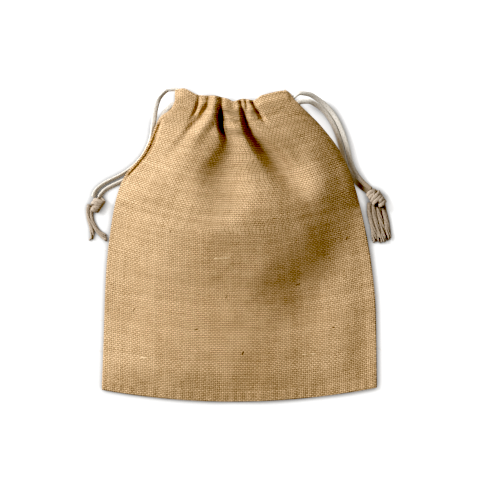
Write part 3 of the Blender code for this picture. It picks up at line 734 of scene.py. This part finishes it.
class Graph:
    """The nodes of one material."""

    def __init__(self, name, roughness):
        self.material = bpy.data.materials.new(name)
        self.material.use_nodes = True
        tree = self.material.node_tree
        self.nodes, self.links = tree.nodes, tree.links
        self.shader = self.nodes["Principled BSDF"]
        self.shader.inputs["Roughness"].default_value = roughness
        self.shader.inputs["Specular IOR Level"].default_value = 0.2

    def put(self, socket, value):
        if isinstance(value, Signal):
            self.links.new(value.socket, socket)
        else:
            socket.default_value = value

    def node(self, kind, output, settings=None, **inputs):
        """A new node's named output; inputs are by name, with _ for a space."""
        made = self.nodes.new("ShaderNode" + kind)
        for name, value in (settings or {}).items():
            setattr(made, name, value)
        for name, value in inputs.items():
            self.put(made.inputs[name.replace("_", " ")], value)
        return Signal(self, made.outputs[output])

    def combined(self, kind, output, settings, *values):
        """As node, for inputs in their own order."""
        signal = self.node(kind, output, settings)
        for socket, value in zip(signal.socket.node.inputs, values):
            self.put(socket, value)
        return signal

    def math(self, operation, *values):
        return self.combined("Math", 0, {"operation": operation}, *values)

    def vector(self, x, y, z=0.0):
        return self.node("CombineXYZ", "Vector", X=x, Y=y, Z=z)

    def noise(self, at, scale, detail):
        return self.node("TexNoise", "Fac", Vector=at, Scale=scale, Detail=detail)

    def rise(self, low, high, value):
        """0 where the value is below low and 1 where it is above high."""
        return self.node("MapRange", 0, {"interpolation_type": "SMOOTHSTEP"},
                         Value=value, From_Min=low, From_Max=high)

    def mix(self, share, first, second):
        """A colour between two colours; each is a Signal or (r, g, b)."""
        made = self.nodes.new("ShaderNodeMix")  # its sockets share names, so by number
        made.data_type = "RGBA"
        self.put(made.inputs[0], share)
        for socket, colour in ((made.inputs[6], first), (made.inputs[7], second)):
            self.put(socket, colour if isinstance(colour, Signal) else (*colour, 1))
        return Signal(self, made.outputs[2])

    def threads(self):
        """The warp and weft counts of the UV map, or the two counts of a cord."""
        both = self.node("UVMap", 0, {"uv_map": "Threads"})
        warp = self.node("SeparateXYZ", "X", Vector=both)
        return warp, Signal(self, warp.socket.node.outputs["Y"])

    def place(self):
        return self.node("TexCoord", "Object")

    def finish(self, colour, height=None, distance=0.0, strength=1.0):
        """Sets the colour and, where a height is given, a bump of that distance."""
        self.put(self.shader.inputs["Base Color"], colour)
        if height is not None:
            bump = self.node("Bump", "Normal", Height=height, Distance=distance,
                             Strength=strength)
            self.put(self.shader.inputs["Normal"], bump)
        return self.material


def wandering(g, u, v):
    """The thread counts at each place once the threads wander from their even grid."""
    across, up = u, v
    for reach, scale, detail, stretch, warp_seed, weft_seed in WANDER:
        aside = g.noise(g.vector(u, v * stretch, warp_seed), scale, detail)
        onward = g.noise(g.vector(u * stretch, v, weft_seed), scale, detail)
        across = across + reach * (aside - 0.5)
        up = up + reach * (onward - 0.5)
    return across, up


def yarn_height(g, number, seed, place, run, crossing, width):
    """The height of one direction's yarns, and a tone that belongs to each yarn.

    number is the yarn's, place how far from its middle, run how far along it and
    crossing the wave with which it passes over and under the others.
    """
    own = g.node("TexWhiteNoise", "Value", {"noise_dimensions": "1D"}, W=number + seed)
    swelling = g.noise(g.vector(number * 3.1, run * 0.11, seed), 1, 2)
    half = width + 0.03 * (own - 0.5) + 0.14 * (swelling - 0.5)
    half = half + 0.08 * g.rise(0.7, 0.85, swelling)
    inside = 1 - g.math("POWER", g.math("ABSOLUTE", place / half), 2)
    round_top = g.math("SQRT", g.math("MAXIMUM", inside, 0))
    return round_top * (0.54 + 0.46 * crossing), own


def jute_weave():
    """Plain-woven jute: round uneven yarns over and under each other, with painted shade in the
    gaps and down the yarns' low sides.
    """
    g = Graph("jute_weave", 0.88)
    u, v = g.threads()
    across, up = wandering(g, u, v)
    warp, weft = g.math("FLOOR", across), g.math("FLOOR", up)
    in_warp, in_weft = across - warp - 0.5, up - weft - 0.5
    over = 1 - 2 * g.math("FLOORED_MODULO", warp + weft, 2)
    warp_wave = g.math("COSINE", in_weft * math.pi) * over
    weft_wave = g.math("COSINE", in_warp * math.pi) * over * -1
    warp_height, warp_tone = yarn_height(g, warp, 11, in_warp, up, warp_wave, WARP_HALF)
    weft_height, weft_tone = yarn_height(g, weft, 57, in_weft, across, weft_wave, WEFT_HALF)
    height = g.math("MAXIMUM", warp_height, weft_height)
    warp_on_top = g.math("GREATER_THAN", warp_height, weft_height)
    warp_fibres = g.noise(g.vector(u * 7, v * 0.9, 2), 1, 3)
    weft_fibres = g.noise(g.vector(u * 0.9, v * 7, 5), 1, 3)
    fibres = weft_fibres + (warp_fibres - weft_fibres) * warp_on_top
    own_tone = weft_tone + (warp_tone - weft_tone) * warp_on_top
    # Painted shade: warp yarns on top are darker than weft ones, as the light from the side
    # shades them.
    tone = 0.58 - 0.18 * warp_on_top + 0.1 * (own_tone - 0.5) + 0.6 * (fibres - 0.5)
    tone = tone + 0.25 * (g.noise(g.vector(u, v, 4), 0.045, 3) - 0.5)
    tone = tone + 0.2 * (g.noise(g.vector(u, v, 6), 0.35, 2) - 0.5)
    # Painted shade: the jute's tone is lowered around each of these places.
    for x, y, reach, strength in PAINTED_SHADE_PATCHES:
        centre = (x * MM, y * MM, 0.01)
        away = g.combined("VectorMath", "Value", {"operation": "DISTANCE"}, g.place(), centre)
        tone = tone - strength * g.rise(reach * MM, 0, away)
    colour = g.mix(g.rise(0.05, 0.95, tone), JUTE_DARK, JUTE_LIGHT)
    # Painted shade: where a yarn is low, at its sides and in the gaps, it takes the gap colour.
    colour = g.mix(g.rise(0.1, 0.5, height), JUTE_GAP_SHADE, colour)
    return g.finish(colour, height + 0.12 * fibres, 0.0003, 0.9)


def cotton(name, gap_shade, dark, light, dirt_and_shade_spans=()):
    """Cotton braid: crossing strands of fine fibres with painted shade in their gaps, made
    browner in the given spans as dirt and painted shade.
    """
    g = Graph(name, 0.85)
    u, v = g.threads()
    first = g.math("SINE", (u * BRAID_STRANDS + v * 0.5) * math.pi)
    second = g.math("SINE", (u * BRAID_STRANDS - v * 0.5) * math.pi)
    strands = g.math("MAXIMUM", g.math("ABSOLUTE", first), g.math("ABSOLUTE", second))
    fibres = g.noise(g.vector(u * 60, v * 2.5), 1, 3)
    soil = g.noise(g.vector(u * 2, v * 0.08), 1, 3)
    tone = 0.45 + 0.6 * (fibres - 0.5) + 0.7 * (soil - 0.5)
    colour = g.mix(g.rise(0, 1, tone), dark, light)
    # Painted shade in the grooves between the crossing strands.
    colour = g.mix(g.rise(0.15, 0.75, strands), gap_shade, colour)
    # Dirt and painted shade: the cord turns browner past the given x.
    for starts, complete, strength in dirt_and_shade_spans:
        x = g.node("SeparateXYZ", "X", Vector=g.place())
        dirt_and_shade_share = strength * g.rise(starts, complete, x + 0.004 * (soil - 0.5))
        colour = g.mix(dirt_and_shade_share, colour, g.mix(fibres, *DIRT_AND_SHADE_TONES))
    return g.finish(colour, strands + 0.3 * fibres, 0.00014, 0.7)


def plain(name, dark, light, scale):
    """A fibre's or thread's material: two tones that wander with its place."""
    g = Graph(name, 0.9)
    tone = g.noise(g.place(), scale, 3)
    return g.finish(g.mix(g.rise(0.3, 0.7, tone), dark, light))


# ------ cords
def lie_down(route):
    """A route of the part's round cord, lowered for a flatter cord where it lies."""
    route = np.array(route, float)
    route[:, 2] -= 0.62 * (1 - smooth(2.0, 5.0, route[:, 2]))
    return route


def casing_run(z):
    """A cord's route inside a casing, which follows half of the mouth's ruffle."""
    across = np.linspace(0, 1, 60)
    mouth_x, mouth = plan(across, 1.0)
    ruffle = curve(MOUTH, across)
    xs = np.linspace(*CASING_RUN)
    ys = np.interp(xs, mouth_x, mouth - ruffle / 2) - CORD_BELOW_MOUTH
    return [(x, y, z) for x, y in zip(xs, ys)]


def beside(line, looks=(0, 0, 1.0)):
    """Ways to the side of a line and out of its flat face, which looks roughly as given."""
    tangents = unit(np.gradient(line, axis=0))
    lateral = unit(np.cross(tangents, looks))
    return lateral, np.cross(lateral, tangents)


def braid(line, normals, width, thickness, sides, relief):
    """Rings of a flat braided cord around a line, and their thread counts.

    normals say which way its flat face looks at each point, and relief is how far its
    crossing strands stand out, as a share of its size.
    """
    lateral, normals = beside(line, normals)
    share = np.linspace(0, 1, sides + 1)[None]
    run = run_along(line)[:, None] / BRAID_PITCH
    crossing = (np.abs(np.sin(np.pi * (BRAID_STRANDS * share + run)))
                + np.abs(np.sin(np.pi * (BRAID_STRANDS * share - run))))
    size = 1 + relief * (crossing - 1.2)

    def out(wave, way, reach):
        rounded = np.sign(wave) * np.abs(wave) ** BRAID_ROUNDNESS
        return way[:, None] * (rounded * size * reach / 2)[..., None]

    turn = 2 * np.pi * share
    rings = (line[:, None] + out(np.cos(turn), lateral, width)
             + out(np.sin(turn), normals, thickness))
    return rings, np.stack(np.broadcast_arrays(share, run), axis=2)


def capped(rings):
    """The rings with both ends drawn together into a rounded tip."""
    ends = []
    for ring, beyond in ((rings[0], rings[0] - rings[1]), (rings[-1], rings[-1] - rings[-2])):
        middle = ring.mean(axis=0)
        out = unit(beyond.mean(axis=0)[None])[0]
        ends.append([middle + (ring - middle) * size + out * reach
                     for size, reach in ((0.8, 0.5), (0.45, 0.85), (0.02, 1.0))])
    return np.concatenate([ends[0][::-1], rings, ends[1]])


def cords(name, strands, material, node=None):
    """One object of several cords; each is what braid takes."""
    points, faces, threads = [], [], []
    start = 0
    for cord in strands:
        rings, counts = braid(*cord)
        rings = capped(rings)[:, :-1]
        counts = np.concatenate([counts[:1]] * 3 + [counts] + [counts[-1:]] * 3)
        index = start + np.arange(rings[..., 0].size).reshape(rings.shape[:2])
        index = np.concatenate([index, index[:, :1]], axis=1)
        points.append(rings.reshape(-1, 3))
        faces.append(cells(index).reshape(-1, 4))
        threads.append(cells(counts).reshape(-1, 2))
        start += rings[..., 0].size
    mesh = make_mesh(name, *map(np.concatenate, (points, faces, threads)))
    return show(name, mesh, material, node)


def facing(line, degrees):
    """Which way a flat face looks along a line, when it is turned from facing up."""
    lateral, upward = beside(line)
    angle = np.radians(degrees) * np.ones((len(line), 1))
    return upward * np.cos(angle) + lateral * np.sin(angle)


def strand(line, width, thickness, sides):
    """What cords takes for a smooth thread or strip that faces up."""
    return line, facing(line, 0), width, thickness, sides, 0.0


def declare(made, line, diameter):
    path = along(line, np.linspace(0, 1, 39)) * MM
    diameter * MM


def drawcord(name, route, twist, node):
    """One drawn cord from knot to knot, turned as its twist table says."""
    route = lie_down(route)
    length = run_along(along(route, np.linspace(0, 1, 400)))[-1]
    line = along(route, np.linspace(0, 1, int(length / 0.7)))
    run = run_along(line)
    degrees = curve(twist, run / run[-1])[:, None]
    braided = line, facing(line, degrees), *CORD_SIZE, 20, BRAID_RELIEF
    declare(cords(name, [braided], COTTON, node), line, CORD_SIZE[0])


def wrapped(turns, length):
    """A knot's path: down its core, back over it in wraps, and under them again.

    The columns are millimetres along its axis and shares of its half width and height.
    """
    # Rows are (share of the length along, share of the size out, turns around the axis).
    core = [(0.9, 0.1, 0), (0.4, 0.1, 0), (-0.2, 0.12, 0), (-0.75, 0.2, 0)]
    steps = np.linspace(0, 1, int(10 * turns))
    wraps = [(-0.9 + 1.6 * share, 1.0, 0.25 + turns * share) for share in steps]
    tuck = [(0.8, 0.6, 0.5 + turns), (0.3, 0.25, 0.6 + turns), (-0.4, 0.2, 0.6 + turns)]
    rows = np.array(core + wraps + tuck)
    angle = 2 * np.pi * rows[:, 2]
    out = rows[:, 1]
    return np.stack([rows[:, 0] * length, out * np.cos(angle), out * np.sin(angle)], axis=1)


def knot(name, centre, heading, length, side, up, turns, node):
    """An overhand knot of two cords; heading is the way to where they enter it."""
    along_it = np.array([math.cos(heading), math.sin(heading), 0])
    across_it = np.array([-math.sin(heading), math.cos(heading), 0])
    path = wrapped(turns, length)
    points = centre + path[:, :1] * along_it + path[:, 1:2] * side * across_it
    points[:, 2] += path[:, 2] * up
    line = along(points, np.linspace(0, 1, 150))
    off = line - centre
    off = off - (off @ along_it)[:, None] * along_it
    normals = unit(off + [0, 0, 0.4])
    aside = beside(line, normals)[0] * KNOT_CORD[0] * 0.46
    strands = [(line + aside * way, normals, *KNOT_CORD, 16, BRAID_RELIEF)
               for way in (-1, 1)]
    cords(name, strands, TANNED, node)


def yarns(route, width, count, spread, fray, chance):
    """The twisted yarns of a cord's loose end, which spread and end unevenly."""
    share = np.linspace(0, 1, 60)
    line = along(route, share)
    lateral, upward = beside(line)
    share = share[:, None]
    made = []
    for number in range(count):
        angle = 2 * np.pi * (number / count + chance.uniform(0.6, 0.9) * share)
        out = width * (0.4 + spread * share ** 2) * chance.uniform(0.75, 1.15)
        thick = TAIL_YARN * chance.uniform(0.85, 1.2)
        aside, above = chance.normal(0, fray, 2)
        path = (line + lateral * (out * np.cos(angle) + aside * share ** 3)
                + upward * (0.7 * out * np.sin(angle) + above * share ** 3))
        path[:, 2] = np.maximum(path[:, 2], thick / 2 + 0.05)
        end = 60 if number == 0 else int(60 * chance.uniform(0.88, 1))
        made.append(strand(path[:end], thick, thick, 7))
    return made


def tail(name, width, route, seed, yarn_row, core, material):
    """A free end: loose yarns around a braided core that stops short of their tips."""
    route = lie_down(route)
    strands = yarns(route, width, *yarn_row, np.random.default_rng(seed))
    line = along(route, np.linspace(0, 0.86, 50))
    strands.append((line, facing(line, 4), *core, 16, BRAID_RELIEF))
    made = cords(name + "_yarns", strands, material, name)
    declare(made, along(route, np.linspace(0, 0.98, 60)), width)


# ------ small things on the cloth
def stitches(name, height, way):
    """The sewn row of a casing: one short thread after another on the outer face.

    way is 1 for a face that looks up and -1 for one that looks down.
    """
    length, pitch, thickness = STITCH
    x, y = plan(np.linspace(0.02, 0.98, 900), 1.0)
    row = on_cloth(x, y - STITCHES_BELOW_MOUTH, height, way * (CLOTH / 2 + 0.12))
    run = run_along(row)
    made = []
    for start in np.arange(1.0, run[-1] - length, pitch):
        line = at_runs(row, run, start + np.linspace(0, length, 6))
        line[:, 2] -= way * 0.35 * np.abs(np.linspace(-1, 1, 6)) ** 3
        line[:, 2] = np.maximum(line[:, 2], 0.5)
        made.append(strand(line, thickness, thickness, 6))
    return cords(name, made, THREAD)


def hairs(name, count, seed):
    """Stray jute fibres that stand a little off the front, more of them at its edges."""
    chance = np.random.default_rng(seed)
    steps = np.linspace(0, 1, 6)
    made = []
    for number in range(count):
        up, side = chance.uniform(0.01, 0.97), chance.uniform(0, 1)
        across = side if number % 2 else 0.5 - 0.5 * np.cos(np.pi * side)
        x, y = plan(across, up)
        length, turn = chance.uniform(*HAIR_LENGTHS), chance.uniform(0, 2 * np.pi)
        heading = turn + chance.normal(0, 0.9) * steps
        xs = x + np.cumsum(np.cos(heading)) * length / 6
        ys = y + np.cumsum(np.sin(heading)) * length / 6
        lift = chance.uniform(0.1, 1.3) * np.sin(np.pi * steps * chance.uniform(0.5, 1.0))
        zs = front_z(np.clip(xs, *edges_at(ys)), ys) + CLOTH / 2 + 0.02 + lift
        made.append(strand(np.stack([xs, ys, zs], axis=1), HAIR, HAIR, 3))
    return cords(name, made, FIBRE)


def flecks(name, places, material):
    """Flat bits of husk or thick yarn in the front cloth, at rows like those of HUSKS."""
    made = []
    for x, y, length, width, way in places:
        at = np.linspace(-0.5, 0.5, 6) * length
        line = on_cloth(x + np.cos(way) * at, y + np.sin(way) * at, front_z,
                        CLOTH / 2 + 0.08)
        made.append(strand(line, width, 0.35, 6))
    return cords(name, made, material)


# ------ stage
def camera():
    lens = bpy.data.cameras.new("camera")
    lens.sensor_width = 36
    lens.lens = 36 * EYE_HEIGHT / VIEW_WIDTH
    made = in_scene("camera", lens)
    made.location = (EYE_X, EYE_Y, EYE_HEIGHT)
    SCENE.camera = made


def floor():
    """A pale floor that glows a little, with a painted soft shadow where its glow is dimmed
    right beside the sack.
    """
    mesh = bpy.data.meshes.new("floor")
    mesh.from_pydata([(-3, -3, 0), (3, -3, 0), (3, 3, 0), (-3, 3, 0)], [], [(0, 1, 2, 3)])
    made = in_scene("floor", mesh)
    made.location.z = -0.0003
    g = Graph("floor", 1.0)
    openness = g.node("AmbientOcclusion", "AO", {"samples": 16}, Distance=CONTACT_REACH)
    g.put(g.shader.inputs["Emission Color"], (1, 1, 1, 1))
    # Painted shadow: the glow fades with ambient occlusion near the sack.
    g.put(g.shader.inputs["Emission Strength"], FLOOR_GLOW * g.math("POWER", openness, 2.0))
    mesh.materials.append(g.finish((FLOOR_TONE, FLOOR_TONE, FLOOR_TONE, 1)))


def sky():
    world = bpy.data.worlds.new("studio")
    world.use_nodes = True
    background = world.node_tree.nodes["Background"]
    background.inputs["Color"].default_value = (*SKY_COLOUR, 1)
    background.inputs["Strength"].default_value = SKY_STRENGTH
    SCENE.world = world


def key_lamp():
    light = bpy.data.lights.new("key", "AREA")
    light.size, light.energy, light.color = KEY_SIZE, KEY_POWER, KEY_COLOUR
    made = in_scene("key", light)
    made.location = KEY_PLACE
    made.rotation_euler = (-Vector(KEY_PLACE)).to_track_quat("-Z", "Y").to_euler()


def develop():
    """The contrast of a bright studio picture: a plain view with deeper shadows."""
    view = SCENE.view_settings
    view.view_transform = "Standard"
    view.use_curve_mapping = True
    view.curve_mapping.black_level = (BLACK, BLACK, BLACK)
    view.curve_mapping.update()


# ------ build
camera()
JUTE = jute_weave()
THREAD = plain("sewing_thread", (0.4, 0.27, 0.15), (0.6, 0.44, 0.27), 900.0)
FIBRE = plain("jute_fibre", (0.5, 0.35, 0.2), (0.84, 0.67, 0.46), 300.0)
HUSK = plain("jute_husk", (0.06, 0.03, 0.012), (0.16, 0.09, 0.04), 900.0)
COTTON = cotton("cotton_braid", *CLEAN_TONES, DIRT_AND_SHADE_SPANS)
BROWN_GREY_COTTON = cotton("cotton_brown_grey", *BROWN_GREY_TONES)
TANNED = cotton("cotton_tanned", *TANNED_TONES)

front = panel("front_cloth", FRONT_GRID, front_z, VALLEYS, FRONT_HEM_Z, -1, "front_panel")
back = panel("back_cloth", BACK_GRID, back_z, BACK_FOLDS, BACK_HEM_Z, 1, "back_panel")

front_route = (*FRONT_CORD_LEFT, *casing_run(FRONT_CORD_Z), *FRONT_CORD_RIGHT)
back_route = (*BACK_CORD_LEFT, *casing_run(BACK_CORD_Z), *BACK_CORD_RIGHT)
drawcord("front_drawcord", front_route, FRONT_TWIST, "front_cord")
drawcord("back_drawcord", back_route, BACK_TWIST, "back_cord")
for row in KNOTS:
    knot(*row)
for seed, row in enumerate(TAILS, 40):
    if "left" in row[0]:
        tail(*row, seed, LEFT_YARNS, LEFT_CORE, TANNED)
    else:
        tail(*row, seed, RIGHT_YARNS, RIGHT_CORE, BROWN_GREY_COTTON)

on_front = [stitches("front_stitches", front_z, 1), hairs("front_fibres", 700, 5),
            flecks("husks", HUSKS, HUSK), flecks("slubs", SLUBS, FIBRE)]
on_back = [stitches("back_stitches", back_z, -1)]

floor()
sky()
key_lamp()
develop()
